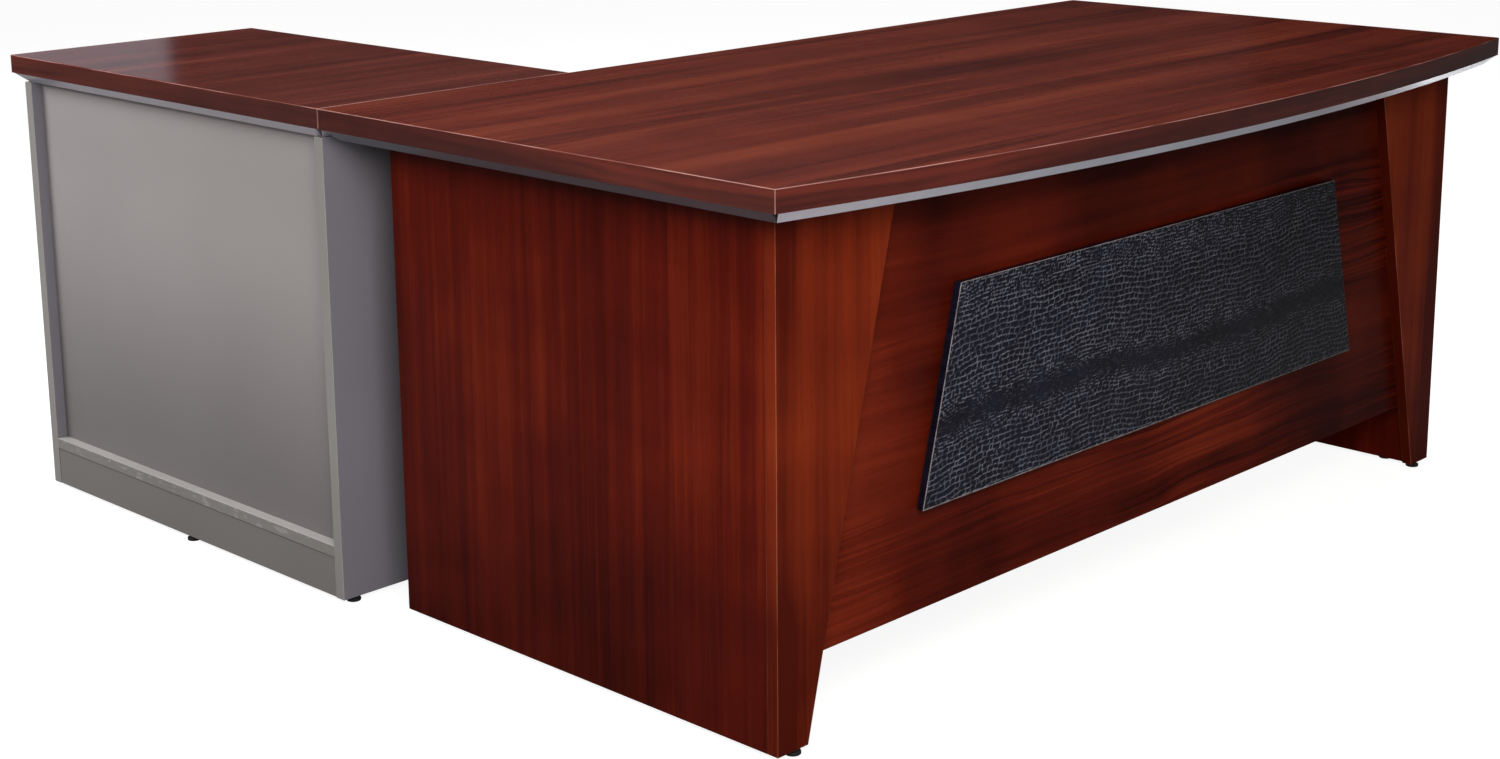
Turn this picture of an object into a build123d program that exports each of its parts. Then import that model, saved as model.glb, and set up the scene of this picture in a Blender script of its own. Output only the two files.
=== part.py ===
from build123d import *
import os
from math import hypot, sqrt

# Executive corner desk: a bow-fronted main desk with a storage return behind its left end.
# Frame: +Z up, floor at Z = 0, X along the main desk, visitor's side towards -Y, sitter's side
# towards +Y. The origin is on the floor, under the middle of the whole desk's bounding box.

os.makedirs("parts", exist_ok=True)

# ---- driving dimensions, millimetres ----
desk_height = 760.0
top_length = 1810.0
top_depth = 899.0           # at the ends; the bow adds to it in the middle
front_bow = 80.0            # rise of the bowed front edge
return_length = 875.0
return_width = 480.0
top_board = 30.0            # thickness of both table boards
subtop_board = 16.0         # thickness of the build-up under them
seam = 0.8                  # gap between the two tops
trim_lip = 1.0              # step from the board's edge to the trim's upper edge
trim_run = 21.0             # inset of the trim's lower edge
trim_root = 25.0            # inset of the trim's flat back
mitre_open = 6.0            # how far the trims stop short of a corner at the upper edge
mitre_gap = 0.6             # and at the lower edge
arris = 1.6                 # rounding of the table boards' upper edges
edge_ease = 1.0             # rounding of the edges of panels, cabinet floor and kickboards
foot_gap = 8.0              # panels stand this far off the floor

end_inset = 61.0            # end panels in from the ends of the top
end_thick = 50.0
end_front = 76.0            # from the chord of the bow back to the panels' front edges
end_depth = 738.0
fascia_thick = 18.0
fascia_wide = 227.0         # width at the top
fascia_narrow = 57.0        # width at the bottom
modesty_thick = 18.0
modesty_bottom = 117.0

insert_low = 263.0          # lower and upper edges of the leather insert
insert_high = 564.0
insert_half_low = 557.0     # half widths at those edges
insert_half_high = 481.0
backing_thick = 5.0
backing_slit = 4.0          # the backing is this much smaller all round
insert_thick = 10.0         # wrapped board with its leather
leather_thick = 1.2

cabinet_inset = 14.0        # cabinet in from the long edges of the return top
cabinet_near = 12.0         # from the seam to the cabinet's near end
cabinet_far = 17.0          # from the cabinet's far end to the top's end
side_thick = 20.0
board = 18.0                # thickness of the other cabinet boards
back_recess = 18.0
back_thick = 9.0
floor_top = 90.0            # upper face of the cabinet floor
kick_setback = 60.0         # sitter's side kickboard, behind the fronts
kick_step = 1.5             # outer kickboard, behind the cabinet floor's edge
rail_width = 80.0
front_thick = 18.0
front_gap = 3.0             # between neighbouring fronts
fronts_drop = 6.0           # from the frame's top down to the fronts
side_margin = 1.0           # the fronts stop this far inside the cabinet's ends
hinge_space = 2.2           # between the carcass and the fronts
shelf_under = 372.0
shelf_play = 1.0
shelf_setback = 20.0        # from the carcass's front edge
shelf_ease = 0.5            # rounding of its edges

drawer_fronts = [149.0, 149.0, 332.0]      # heights, from the top one down
drawer_depth = 370.0
drawer_side = 12.0
drawer_base = 5.0
drawer_drop = 34.0          # from the top of a front down to its drawer's sides
drawer_rise = 24.0          # from the bottom of a front up to its drawer's sides
base_rise = 8.0             # from the drawer's underside to its base
groove = 5.0
runner_space = 12.7
runner_length = 350.0
runner_setback = 4.0        # from the back of the fronts
runner_sheet = 1.2
runner_outer = (0.0, 9.0, 45.0)            # web and flanges from the bay wall, height
runner_middle = (3.0, 11.0, 39.0)
runner_inner = (runner_space, 5.4, 33.0)
middle_shorter = 12.0       # the middle member is this much shorter at each end

handle_centres = 128.0
handle_reach = 28.0
handle_bar = 9.0
handle_ease = 2.0
top_handle_rise = 55.0      # handle of the top drawer, above its lower edge
door_handle_inset = 45.0
door_handle_rise = 90.0     # above the middle of the door

foot_radius = 11.0
foot_pad = 5.0
foot_round = 1.5
foot_hex = 6.5              # half of the width across the flats of the spanner grip
foot_hex_height = 2.4
stem_radius = 4.0
stem_rise = 20.0            # how far the stem goes up into its board
fascia_foot_inset = 98.0    # from the end of the top
end_foot_inset = 50.0       # from the ends of an end panel
side_foot_inset = 25.0      # from the ends of a cabinet side

# ---- levels and lines worked out from them ----
x_right = top_length / 2
x_left = -x_right
y_chord = (front_bow - top_depth - return_length) / 2
y_seam = y_chord + top_depth
y_far = y_seam + return_length
board_under = desk_height - top_board
frame_top = board_under - subtop_board
bow_radius = (x_right**2 + front_bow**2) / (2 * front_bow)
bow_centre = y_chord - front_bow + bow_radius
panel_front = y_chord + end_front
fascia_front = panel_front - fascia_thick
modesty_back = panel_front + modesty_thick
end_rear = panel_front + end_depth
end_outer = x_right - end_inset
end_inner = end_outer - end_thick

return_right = x_left + return_width
cab_left = x_left + cabinet_inset
front_face = return_right - cabinet_inset
front_back = front_face - front_thick
cab_right = front_back - hinge_space
cab_near = y_seam + cabinet_near
cab_far = y_far - cabinet_far
bay_near = cab_near + side_thick
bay_far = cab_far - side_thick
cab_middle = (cab_near + cab_far) / 2
part_near = cab_middle - board / 2
part_far = cab_middle + board / 2
back_left = cab_left + back_recess
back_right = back_left + back_thick
floor_under = floor_top - board
rail_under = frame_top - board
fronts_top = frame_top - fronts_drop
fronts_bottom = fronts_top - sum(drawer_fronts) - front_gap * (len(drawer_fronts) - 1)


def keep(piece, name):
    """Label a finished piece and write its STEP file."""
    piece.part.label = name
    export_step(piece.part, f"parts/{name}.step")


def cuboid(x_span, y_span, z_span, mode=Mode.ADD):
    """A block between three pairs of faces, in the part being built."""
    width, depth, height = (span[1] - span[0] for span in (x_span, y_span, z_span))
    middle = tuple((span[0] + span[1]) / 2 for span in (x_span, y_span, z_span))
    with Locations(middle):
        Box(width, depth, height, mode=mode)


def keep_board(name, x_span, y_span, z_span, ease=edge_ease):
    """A plain board with eased edges, as a finished piece."""
    with BuildPart() as plank:
        cuboid(x_span, y_span, z_span)
        if ease:
            fillet(plank.edges(), radius=ease)
    keep(plank, name)


# ---- outlines of the two tops ----
def bow_y(x, inset):
    """Y of the bowed front edge, drawn in by inset."""
    return bow_centre - sqrt((bow_radius - inset) ** 2 - x**2)


def front_corner(inset, side):
    """Front corner of the main top; side is -1 for the left one, +1 for the right one."""
    x = x_right - inset
    return (side * x, bow_y(x, inset))


def rear_corner(inset, side):
    """Rear corner of the main top."""
    return (side * (x_right - inset), y_seam - seam / 2 - inset)


def main_outline(inset):
    """Face of the main top's outline, every edge drawn in by inset."""
    with BuildLine() as edge:
        Polyline(
            front_corner(inset, -1),
            rear_corner(inset, -1),
            rear_corner(inset, 1),
            front_corner(inset, 1),
        )
        ThreePointArc(front_corner(inset, 1), (0, bow_y(0, inset)), front_corner(inset, -1))
    make_face(edge.edges())


def return_corner(inset, across, along):
    """Corner of the return top; across -1 is its outer side, along -1 is the end at the seam."""
    x = x_left + inset if across < 0 else return_right - inset
    y = y_seam + seam / 2 + inset if along < 0 else y_far - inset
    return (x, y)


def return_outline(inset):
    """Face of the return top's outline, every edge drawn in by inset."""
    with BuildLine() as edge:
        Polyline(
            return_corner(inset, -1, -1),
            return_corner(inset, -1, 1),
            return_corner(inset, 1, 1),
            return_corner(inset, 1, -1),
            close=True,
        )
    make_face(edge.edges())


def keep_top(name, outline):
    """A table board with its upper edges and corners rounded."""
    with BuildPart() as top:
        with BuildSketch(Plane.XY.offset(board_under)):
            outline(0)
        extrude(amount=top_board)
        fillet(top.edges().filter_by(Axis.Z), radius=arris)
        fillet(top.faces().sort_by(Axis.Z)[-1].edges(), radius=arris)
    keep(top, name)


def keep_subtop(name, outline):
    """The build-up board under a top, inside its trims."""
    with BuildPart() as core:
        with BuildSketch(Plane.XY.offset(frame_top)):
            outline(trim_root)
        extrude(amount=subtop_board)
    keep(core, name)


def toward(point, target, distance):
    """The point moved by distance in the direction of target."""
    run = (target[0] - point[0], target[1] - point[1])
    length = hypot(*run)
    return (point[0] + run[0] * distance / length, point[1] + run[1] * distance / length)


def keep_trim(name, outline, start, end):
    """One bevelled trim of a top, between the corners start and end, its mitres left open.

    start and end are functions that give their corner at an inset.
    """
    inside = 60.0
    outside = -200.0
    with BuildPart() as trim:
        with BuildSketch(Plane.XY.offset(frame_top)):
            outline(trim_run)
        with BuildSketch(Plane.XY.offset(board_under)):
            outline(trim_lip)
        loft(ruled=True)
        with BuildSketch(Plane.XY.offset(frame_top)):
            outline(trim_root)
        extrude(amount=subtop_board, mode=Mode.SUBTRACT)
        with BuildSketch(Plane.XY.offset(frame_top)):
            with BuildLine():
                Polyline(
                    toward(start(outside), end(outside), outside),
                    toward(start(0), end(0), mitre_open),
                    toward(start(trim_run), end(trim_run), mitre_gap),
                    toward(start(inside), end(inside), mitre_gap),
                    toward(end(inside), start(inside), mitre_gap),
                    toward(end(trim_run), start(trim_run), mitre_gap),
                    toward(end(0), start(0), mitre_open),
                    toward(end(outside), start(outside), outside),
                    close=True,
                )
            make_face()
        extrude(amount=subtop_board, mode=Mode.INTERSECT)
    keep(trim, name)


keep_top("main_top", main_outline)
keep_top("return_top", return_outline)
keep_subtop("main_subtop", main_outline)
keep_subtop("return_subtop", return_outline)

main_trims = {
    "main_trim_front": (lambda i: front_corner(i, -1), lambda i: front_corner(i, 1)),
    "main_trim_left": (lambda i: front_corner(i, -1), lambda i: rear_corner(i, -1)),
    "main_trim_right": (lambda i: front_corner(i, 1), lambda i: rear_corner(i, 1)),
    "main_trim_rear": (lambda i: rear_corner(i, -1), lambda i: rear_corner(i, 1)),
}
return_trims = {
    "return_trim_near": (lambda i: return_corner(i, -1, -1), lambda i: return_corner(i, 1, -1)),
    "return_trim_far": (lambda i: return_corner(i, -1, 1), lambda i: return_corner(i, 1, 1)),
    "return_trim_outer": (lambda i: return_corner(i, -1, -1), lambda i: return_corner(i, -1, 1)),
    "return_trim_inner": (lambda i: return_corner(i, 1, -1), lambda i: return_corner(i, 1, 1)),
}
for trim_name, (trim_start, trim_end) in main_trims.items():
    keep_trim(trim_name, main_outline, trim_start, trim_end)
for trim_name, (trim_start, trim_end) in return_trims.items():
    keep_trim(trim_name, return_outline, trim_start, trim_end)


# ---- feet: under the fascias, the end panels, the cabinet sides and the outer kickboard ----
fascia_foot_x = x_right - fascia_foot_inset
fascia_feet = [(side * fascia_foot_x, panel_front - fascia_thick / 2) for side in (-1, 1)]
end_feet = [
    (side * (end_outer - end_thick / 2), y)
    for side in (-1, 1)
    for y in (panel_front + end_foot_inset, end_rear - end_foot_inset)
]
side_feet = [
    (x, y)
    for x in (cab_left + side_foot_inset, cab_right - side_foot_inset)
    for y in (cab_near + side_thick / 2, cab_far - side_thick / 2)
]
kick_outer_x = cab_left + kick_step + board / 2
kick_inner_x = front_face - kick_setback - board / 2
kick_feet = [(kick_outer_x, cab_middle), (kick_inner_x, cab_middle)]


def foot_holes(places):
    """Blind holes for the stems of the feet at places, in the part being built."""
    with BuildSketch(Plane.XY.offset(foot_gap)) as stems:
        with Locations(*places):
            Circle(stem_radius)
    extrude(stems.sketch, amount=stem_rise, mode=Mode.SUBTRACT)


with BuildPart() as foot:
    Cylinder(foot_radius, foot_pad, align=(Align.CENTER, Align.CENTER, Align.MIN))
    fillet(foot.edges().filter_by(GeomType.CIRCLE), radius=foot_round)
    with BuildSketch(Plane.XY.offset(foot_pad)):
        RegularPolygon(foot_hex, side_count=6, major_radius=False)
    extrude(amount=foot_hex_height)
    with BuildSketch(Plane.XY.offset(foot_pad + foot_hex_height)):
        Circle(stem_radius)
    extrude(amount=foot_gap + stem_rise - foot_pad - foot_hex_height)

with BuildPart() as feet:
    with Locations(*fascia_feet, *end_feet, *side_feet, *kick_feet):
        add(foot.part)
keep(feet, "levelling_feet")


# ---- main desk: end panels, fascias, modesty panel ----
for side_name, side in (("left", -1), ("right", 1)):
    x_span = sorted((side * end_outer, side * end_inner))
    with BuildPart() as end_panel:
        cuboid(x_span, (panel_front, end_rear), (foot_gap, frame_top))
        fillet(end_panel.edges(), radius=edge_ease)
        foot_holes([place for place in end_feet if place[0] * side > 0])
    keep(end_panel, f"end_panel_{side_name}")

    with BuildPart() as fascia:
        with BuildSketch(Plane.XZ.offset(-panel_front)):
            with BuildLine():
                Polyline(
                    (side * end_outer, foot_gap),
                    (side * end_outer, frame_top),
                    (side * (end_outer - fascia_wide), frame_top),
                    (side * (end_outer - fascia_narrow), foot_gap),
                    close=True,
                )
            make_face()
        extrude(amount=fascia_thick)
        fillet(fascia.edges(), radius=edge_ease)
        foot_holes([place for place in fascia_feet if place[0] * side > 0])
    keep(fascia, f"fascia_{side_name}")

keep_board(
    "modesty_panel",
    (-end_inner, end_inner),
    (panel_front, modesty_back),
    (modesty_bottom, frame_top),
)


# ---- leather insert: backing, board and leather, all of one trapezoid ----
def insert_outline(inset):
    """Face of the insert's outline, every edge drawn in by inset."""
    slope = (insert_half_low - insert_half_high) / (insert_high - insert_low)
    side_inset = inset * hypot(1, slope)
    low_half = insert_half_low - slope * inset - side_inset
    high_half = insert_half_high + slope * inset - side_inset
    with BuildLine() as edge:
        Polyline(
            (-low_half, insert_low + inset),
            (low_half, insert_low + inset),
            (high_half, insert_high - inset),
            (-high_half, insert_high - inset),
            close=True,
        )
    make_face(edge.edges())


insert_back = panel_front - backing_thick
with BuildPart() as backing:
    with BuildSketch(Plane.XZ.offset(-panel_front)):
        insert_outline(backing_slit)
    extrude(amount=backing_thick)
keep(backing, "insert_backing")

with BuildPart() as insert_board:
    with BuildSketch(Plane.XZ.offset(-insert_back)):
        insert_outline(leather_thick)
    extrude(amount=insert_thick - leather_thick)
keep(insert_board, "insert_board")

with BuildPart() as leather:
    with BuildSketch(Plane.XZ.offset(-insert_back)):
        insert_outline(0)
    extrude(amount=insert_thick)
    with BuildSketch(Plane.XZ.offset(-insert_back)):
        insert_outline(leather_thick)
    extrude(amount=insert_thick - leather_thick, mode=Mode.SUBTRACT)
keep(leather, "insert_leather")


# ---- steel brackets with their screws ----
bracket_sheet = 2.5
bracket_width = 40.0
bracket_leg = 38.0
bracket_hole = bracket_width / 4           # from the end of the leg under the top
upright_hole = 0.7 * bracket_leg           # down the upright leg
front_bracket_inset = 200.0
rear_bracket_inset = 120.0
modesty_bracket_step = 450.0
seam_brackets = (190.0, 330.0)             # from the left end of the top
screw_radius = 2.0
screw_head = 4.0
screw_head_rise = 1.8
screw_head_round = 1.2
screw_slot = (4.4, 0.9, 1.0)               # arms of its cross: length, width and depth
screw_length = 14.0
hole_play = 0.3


# A bracket is drawn in its own corner: its legs run along +X under the top and down -Z.
end_bracket_frames = [
    Plane(origin=(side * end_inner, y, frame_top), x_dir=(-side, 0, 0), z_dir=(0, 0, 1))
    for side in (-1, 1)
    for y in (panel_front + front_bracket_inset, end_rear - rear_bracket_inset)
]
modesty_bracket_frames = [
    Plane(origin=(x, modesty_back, frame_top), x_dir=(0, 1, 0), z_dir=(0, 0, 1))
    for x in (-modesty_bracket_step, 0, modesty_bracket_step)
]
seam_bracket_frames = [
    Plane(origin=(x_left + inset, cab_near, frame_top), x_dir=(0, -1, 0), z_dir=(0, 0, 1))
    for inset in seam_brackets
]


def bracket(leg):
    """An angle bracket in its own corner, with one hole near the end of each leg."""
    with BuildPart() as angle:
        with BuildSketch(Plane.XZ.offset(-bracket_width / 2)):
            with BuildLine():
                Polyline(
                    (0, 0),
                    (leg, 0),
                    (leg, -bracket_sheet),
                    (bracket_sheet, -bracket_sheet),
                    (bracket_sheet, -bracket_leg),
                    (0, -bracket_leg),
                    close=True,
                )
            make_face()
        extrude(amount=bracket_width)
        with BuildSketch(Plane.XY):
            with Locations((leg - bracket_hole, 0)):
                Circle(screw_radius + hole_play)
        extrude(amount=-bracket_sheet, mode=Mode.SUBTRACT)
        with BuildSketch(Plane.YZ):
            with Locations((0, -upright_hole)):
                Circle(screw_radius + hole_play)
        extrude(amount=bracket_sheet, mode=Mode.SUBTRACT)
    return angle.part


def screw():
    """A pan-head cross screw, its head's underside on the XY plane and its shank downwards."""
    slot_length, slot_width, slot_deep = screw_slot
    with BuildPart() as made:
        with BuildSketch(Plane.XY):
            Circle(screw_head)
        extrude(amount=screw_head_rise)
        fillet(made.edges().sort_by(Axis.Z)[-1], radius=screw_head_round)
        with BuildSketch(Plane.XY.offset(screw_head_rise)):
            Rectangle(slot_length, slot_width)
            Rectangle(slot_width, slot_length)
        extrude(amount=-slot_deep, mode=Mode.SUBTRACT)
        with BuildSketch(Plane.XY):
            Circle(screw_radius)
        extrude(amount=-screw_length)
    return made.part


top_bracket = bracket(bracket_leg)
seam_leg = cab_near - y_seam + trim_root + bracket_leg
seam_bracket = bracket(seam_leg)
one_screw = screw()


def screws_of(frame, leg):
    """Both screws of the bracket in frame: one up into the top, one into the upright board."""
    up = Plane(origin=(leg - bracket_hole, 0, -bracket_sheet), z_dir=(0, 0, -1))
    across = Plane(origin=(bracket_sheet, 0, -upright_hole), z_dir=(1, 0, 0))
    return [(frame.location * place.location) * one_screw for place in (up, across)]


top_frames = end_bracket_frames + modesty_bracket_frames
bracket_solids = [frame.location * top_bracket for frame in top_frames]
bracket_solids += [frame.location * seam_bracket for frame in seam_bracket_frames]
screw_solids = [made for frame in top_frames for made in screws_of(frame, bracket_leg)]
screw_solids += [made for frame in seam_bracket_frames for made in screws_of(frame, seam_leg)]

for group_name, solids in (
    ("angle_brackets", bracket_solids),
    ("bracket_screws", screw_solids),
):
    with BuildPart() as group:
        for solid in solids:
            add(solid)
    keep(group, group_name)


# ---- return cabinet carcass ----
pin_radius = 2.5
pin_depth = 10.0
pin_show = 8.0
pin_back = 50.0             # from the cabinet's back
pin_front = 60.0            # from the carcass's front edge
pin_places = [
    (x, shelf_under - pin_radius) for x in (back_right + pin_back, cab_right - pin_front)
]
shelf_bay = (bay_near, part_near)
drawer_bay = (part_far, bay_far)


def pin_holes(wall_y, direction):
    """Blind holes for the shelf pins in a wall; direction is the way that they go in."""
    with BuildSketch(Plane.XZ.offset(-wall_y)) as holes:
        with Locations(*pin_places):
            Circle(pin_radius)
    extrude(holes.sketch, amount=-direction * pin_depth, mode=Mode.SUBTRACT)


for end_name, y_span in (("near", (cab_near, bay_near)), ("far", (bay_far, cab_far))):
    with BuildPart() as cabinet_side:
        cuboid((cab_left, cab_right), y_span, (foot_gap, frame_top))
        fillet(cabinet_side.edges(), radius=edge_ease)
        foot_holes([place for place in side_feet if y_span[0] < place[1] < y_span[1]])
        if end_name == "near":
            pin_holes(bay_near, -1)
    keep(cabinet_side, f"cabinet_side_{end_name}")

with BuildPart() as partition:
    cuboid((back_right, cab_right), (part_near, part_far), (floor_top, rail_under))
    pin_holes(part_near, 1)
keep(partition, "cabinet_partition")

keep_board(
    "cabinet_floor",
    (cab_left, cab_right),
    (bay_near, bay_far),
    (floor_under, floor_top),
)
keep_board("cabinet_back", (back_left, back_right), (bay_near, bay_far), (floor_top, frame_top), 0)

for kick_name, kick_x in (("outer", kick_outer_x), ("inner", kick_inner_x)):
    with BuildPart() as kickboard:
        kick_span = (kick_x - board / 2, kick_x + board / 2)
        cuboid(kick_span, (bay_near, bay_far), (foot_gap, floor_under))
        fillet(kickboard.edges(), radius=edge_ease)
        foot_holes([place for place in kick_feet if place[0] == kick_x])
    keep(kickboard, f"kickboard_{kick_name}")

with BuildPart() as shelf_pins:
    for wall_y, direction in ((bay_near, 1), (part_near, -1)):
        with BuildSketch(Plane.XZ.offset(-(wall_y - direction * pin_depth))):
            with Locations(*pin_places):
                Circle(pin_radius)
        extrude(amount=-direction * (pin_depth + pin_show))
keep(shelf_pins, "shelf_pins")

keep_board(
    "cabinet_shelf",
    (back_right + shelf_play, cab_right - shelf_setback),
    (bay_near + shelf_play, part_near - shelf_play),
    (shelf_under, shelf_under + board),
    shelf_ease,
)

# ---- lock: barrel in the top drawer's front, plug and cam that turn, slot in the rail ----
drawer_front_span = (cab_middle + front_gap / 2, cab_far - side_margin)
lock_drop = 28.0            # from the top drawer's upper edge
lock_y = sum(drawer_front_span) / 2
lock_z = fronts_top - lock_drop
barrel_radius = 9.5
barrel_flange = 11.5
flange_rise = 2.0
barrel_length = 30.0
barrel_back = front_face - barrel_length
plug_radius = 7.0
turn_play = 0.05
cam_thick = 2.5
cam_gap = 1.0               # from the barrel to the cam
cam_start = barrel_back - cam_gap
cam_reach = 24.0
cam_width = 12.0
slot_depth = 12.0
slot_play = 3.0             # before and behind the cam
slot_sides = (10.0, 28.0)   # from the lock's axis to the slot's two ends

with BuildPart() as rails:
    for x_span in ((cab_right - rail_width, cab_right), (back_right, back_right + rail_width)):
        cuboid(x_span, (bay_near, bay_far), (rail_under, frame_top))
    cuboid(
        (cam_start - cam_thick - slot_play, cam_start + slot_play),
        (lock_y - slot_sides[0], lock_y + slot_sides[1]),
        (rail_under, rail_under + slot_depth),
        mode=Mode.SUBTRACT,
    )
keep(rails, "cabinet_rails")

with BuildPart() as barrel:
    with BuildSketch(Plane.YZ.offset(barrel_back)):
        with Locations((lock_y, lock_z)):
            Circle(barrel_radius)
    extrude(amount=front_face - barrel_back)
    with BuildSketch(Plane.YZ.offset(front_face)):
        with Locations((lock_y, lock_z)):
            Circle(barrel_flange)
    extrude(amount=flange_rise)
    with BuildSketch(Plane.YZ.offset(barrel_back)):
        with Locations((lock_y, lock_z)):
            Circle(plug_radius + turn_play)
    extrude(amount=front_face + flange_rise - barrel_back, mode=Mode.SUBTRACT)
keep(barrel, "lock_barrel")

key_slot = (2.0, 8.0, 20.0)                # width, height and depth
with BuildPart() as plug:
    with BuildSketch(Plane.YZ.offset(cam_start)):
        with Locations((lock_y, lock_z)):
            Circle(plug_radius)
    extrude(amount=front_face + flange_rise - cam_start)
    with BuildSketch(Plane.YZ.offset(front_face + flange_rise)):
        with Locations((lock_y, lock_z)):
            Rectangle(key_slot[0], key_slot[1])
    extrude(amount=-key_slot[2], mode=Mode.SUBTRACT)
keep(plug, "lock_plug")

with BuildPart() as cam:
    with BuildSketch(Plane.YZ.offset(cam_start - cam_thick)):
        with Locations((lock_y + cam_reach / 2, lock_z)):
            Rectangle(cam_reach, cam_width)
        with Locations((lock_y, lock_z)):
            Circle(cam_width / 2)
    extrude(amount=cam_thick)
keep(cam, "lock_cam")


# ---- handles: a flat bar on two posts ----
def handle_at(centre_y, centre_z, upright):
    """Bow handle on a front's face; upright turns it from level to vertical."""
    along = (0, 0, 1) if upright else (0, 1, 0)
    face = Plane(origin=(front_face, centre_y, centre_z), x_dir=along, z_dir=(1, 0, 0))
    with BuildPart() as handle:
        with BuildSketch(face):
            with Locations((-handle_centres / 2, 0), (handle_centres / 2, 0)):
                Circle(handle_bar / 2)
        extrude(amount=handle_reach - handle_bar / 2)
        with BuildSketch(face.offset(handle_reach - handle_bar)):
            RectangleRounded(handle_centres + 2 * handle_bar, handle_bar, handle_bar / 2 - 0.2)
        extrude(amount=handle_bar)
        bar_face = handle.faces().sort_by(Axis.X)[-1]
        fillet(bar_face.edges(), radius=handle_ease)
    return handle


# ---- drawers ----
runner_levels = []
level = fronts_top
box_outer = (drawer_bay[0] + runner_space, drawer_bay[1] - runner_space)
box_back = front_back - drawer_depth

for number, height in enumerate(drawer_fronts, start=1):
    front_z = (level - height, level)
    box_z = (front_z[0] + drawer_rise, front_z[1] - drawer_drop)
    name = f"drawer_{number}"

    with BuildPart() as drawer_front:
        cuboid((front_back, front_face), drawer_front_span, front_z)
        fillet(drawer_front.edges(), radius=edge_ease)
        if number == 1:
            with BuildSketch(Plane.YZ.offset(front_back)):
                with Locations((lock_y, lock_z)):
                    Circle(barrel_radius)
            extrude(amount=front_thick, mode=Mode.SUBTRACT)
    keep(drawer_front, f"{name}_front")

    base_z = (box_z[0] + base_rise, box_z[0] + base_rise + drawer_base)
    base_y = (box_outer[0] + drawer_side - groove, box_outer[1] - drawer_side + groove)
    base_x = (box_back + drawer_side - groove, front_back)
    with BuildPart() as wrap:
        cuboid((box_back, front_back), box_outer, box_z)
        cuboid(
            (box_back + drawer_side, front_back),
            (box_outer[0] + drawer_side, box_outer[1] - drawer_side),
            box_z,
            mode=Mode.SUBTRACT,
        )
        cuboid(base_x, base_y, base_z, mode=Mode.SUBTRACT)
    keep(wrap, f"{name}_wrap")
    keep_board(f"{name}_base", base_x, base_y, base_z, 0)

    handle_z = (front_z[0] + front_z[1]) / 2
    if number == 1:
        handle_z = front_z[0] + top_handle_rise
    keep(handle_at(lock_y, handle_z, False), f"{name}_handle")
    runner_levels.append((box_z[0] + box_z[1]) / 2)
    level = front_z[0] - front_gap


# ---- telescopic runners: outer members on the bay walls, middle ones, inner ones on the drawers ----
def channel(start_x, length, wall_y, inward, level_z, member):
    """A C-shaped runner member; distances across are measured from the bay wall inwards."""
    web_at, flange_to, height = member

    def across(near, far):
        return sorted((wall_y + inward * near, wall_y + inward * far))

    x_span = (start_x, start_x + length)
    half = height / 2
    web_side = (web_at, web_at + runner_sheet)
    if flange_to < web_at:
        web_side = (web_at - runner_sheet, web_at)
    cuboid(x_span, across(*web_side), (level_z - half, level_z + half))
    for z_span in (
        (level_z + half - runner_sheet, level_z + half),
        (level_z - half, level_z - half + runner_sheet),
    ):
        cuboid(x_span, across(*sorted((web_at, flange_to))), z_span)


runner_start = front_back - runner_setback - runner_length
middle_start = runner_start + middle_shorter
middle_length = runner_length - 2 * middle_shorter
walls = ((drawer_bay[0], 1), (drawer_bay[1], -1))

with BuildPart() as outers:
    for level_z in runner_levels:
        for wall_y, inward in walls:
            channel(runner_start, runner_length, wall_y, inward, level_z, runner_outer)
keep(outers, "runner_outers")

for number, level_z in enumerate(runner_levels, start=1):
    with BuildPart() as middles:
        for wall_y, inward in walls:
            channel(middle_start, middle_length, wall_y, inward, level_z, runner_middle)
    keep(middles, f"drawer_{number}_runner_middles")
    with BuildPart() as inners:
        for wall_y, inward in walls:
            channel(runner_start, runner_length, wall_y, inward, level_z, runner_inner)
    keep(inners, f"drawer_{number}_runner_inners")


# ---- door with butt hinges on the near side panel's edge ----
door_span = (cab_near + side_margin, cab_middle - front_gap / 2)
door_handle_z = (fronts_bottom + fronts_top) / 2 + door_handle_rise
keep_board("door_panel", (front_back, front_face), door_span, (fronts_bottom, fronts_top))
keep(handle_at(door_span[1] - door_handle_inset, door_handle_z, True), "door_handle")

leaf_sheet = 1.0
leaf_width = 20.0
knuckle_radius = 3.0
hinge_pin_radius = 1.5
hinge_height = 60.0
knuckle_play = 0.3
leaf_play = 0.5             # from a knuckle to the flat of its leaf
hinge_inset = 90.0          # from the door's ends to the undersides of the leaves
hinge_x = cab_right + hinge_space / 2
hinge_y = cab_near - knuckle_radius - knuckle_play
hinge_levels = [fronts_bottom + hinge_inset, fronts_top - hinge_inset]
outer_knuckle = 18.0


def hinge_leaf(level_z, leaf_x, knuckles):
    """A leaf with its rolled knuckles; knuckles are spans of height above level_z."""
    full = (level_z, level_z + hinge_height)
    leaf_start = hinge_y + knuckle_radius + leaf_play
    cuboid(leaf_x, (leaf_start, leaf_start + leaf_width), full)
    for low, high in knuckles:
        z_span = (level_z + low, level_z + high)
        cuboid(leaf_x, (hinge_y, leaf_start), z_span)
        with BuildSketch(Plane.XY.offset(z_span[0])) as knuckle:
            with Locations((hinge_x, hinge_y)):
                Circle(knuckle_radius)
        extrude(knuckle.sketch, amount=high - low)


def hinge_bores():
    """Bores for the pins through every knuckle in the part being built."""
    for level_z in hinge_levels:
        with BuildSketch(Plane.XY.offset(level_z)) as bore:
            with Locations((hinge_x, hinge_y)):
                Circle(hinge_pin_radius + turn_play)
        extrude(bore.sketch, amount=hinge_height, mode=Mode.SUBTRACT)


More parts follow.
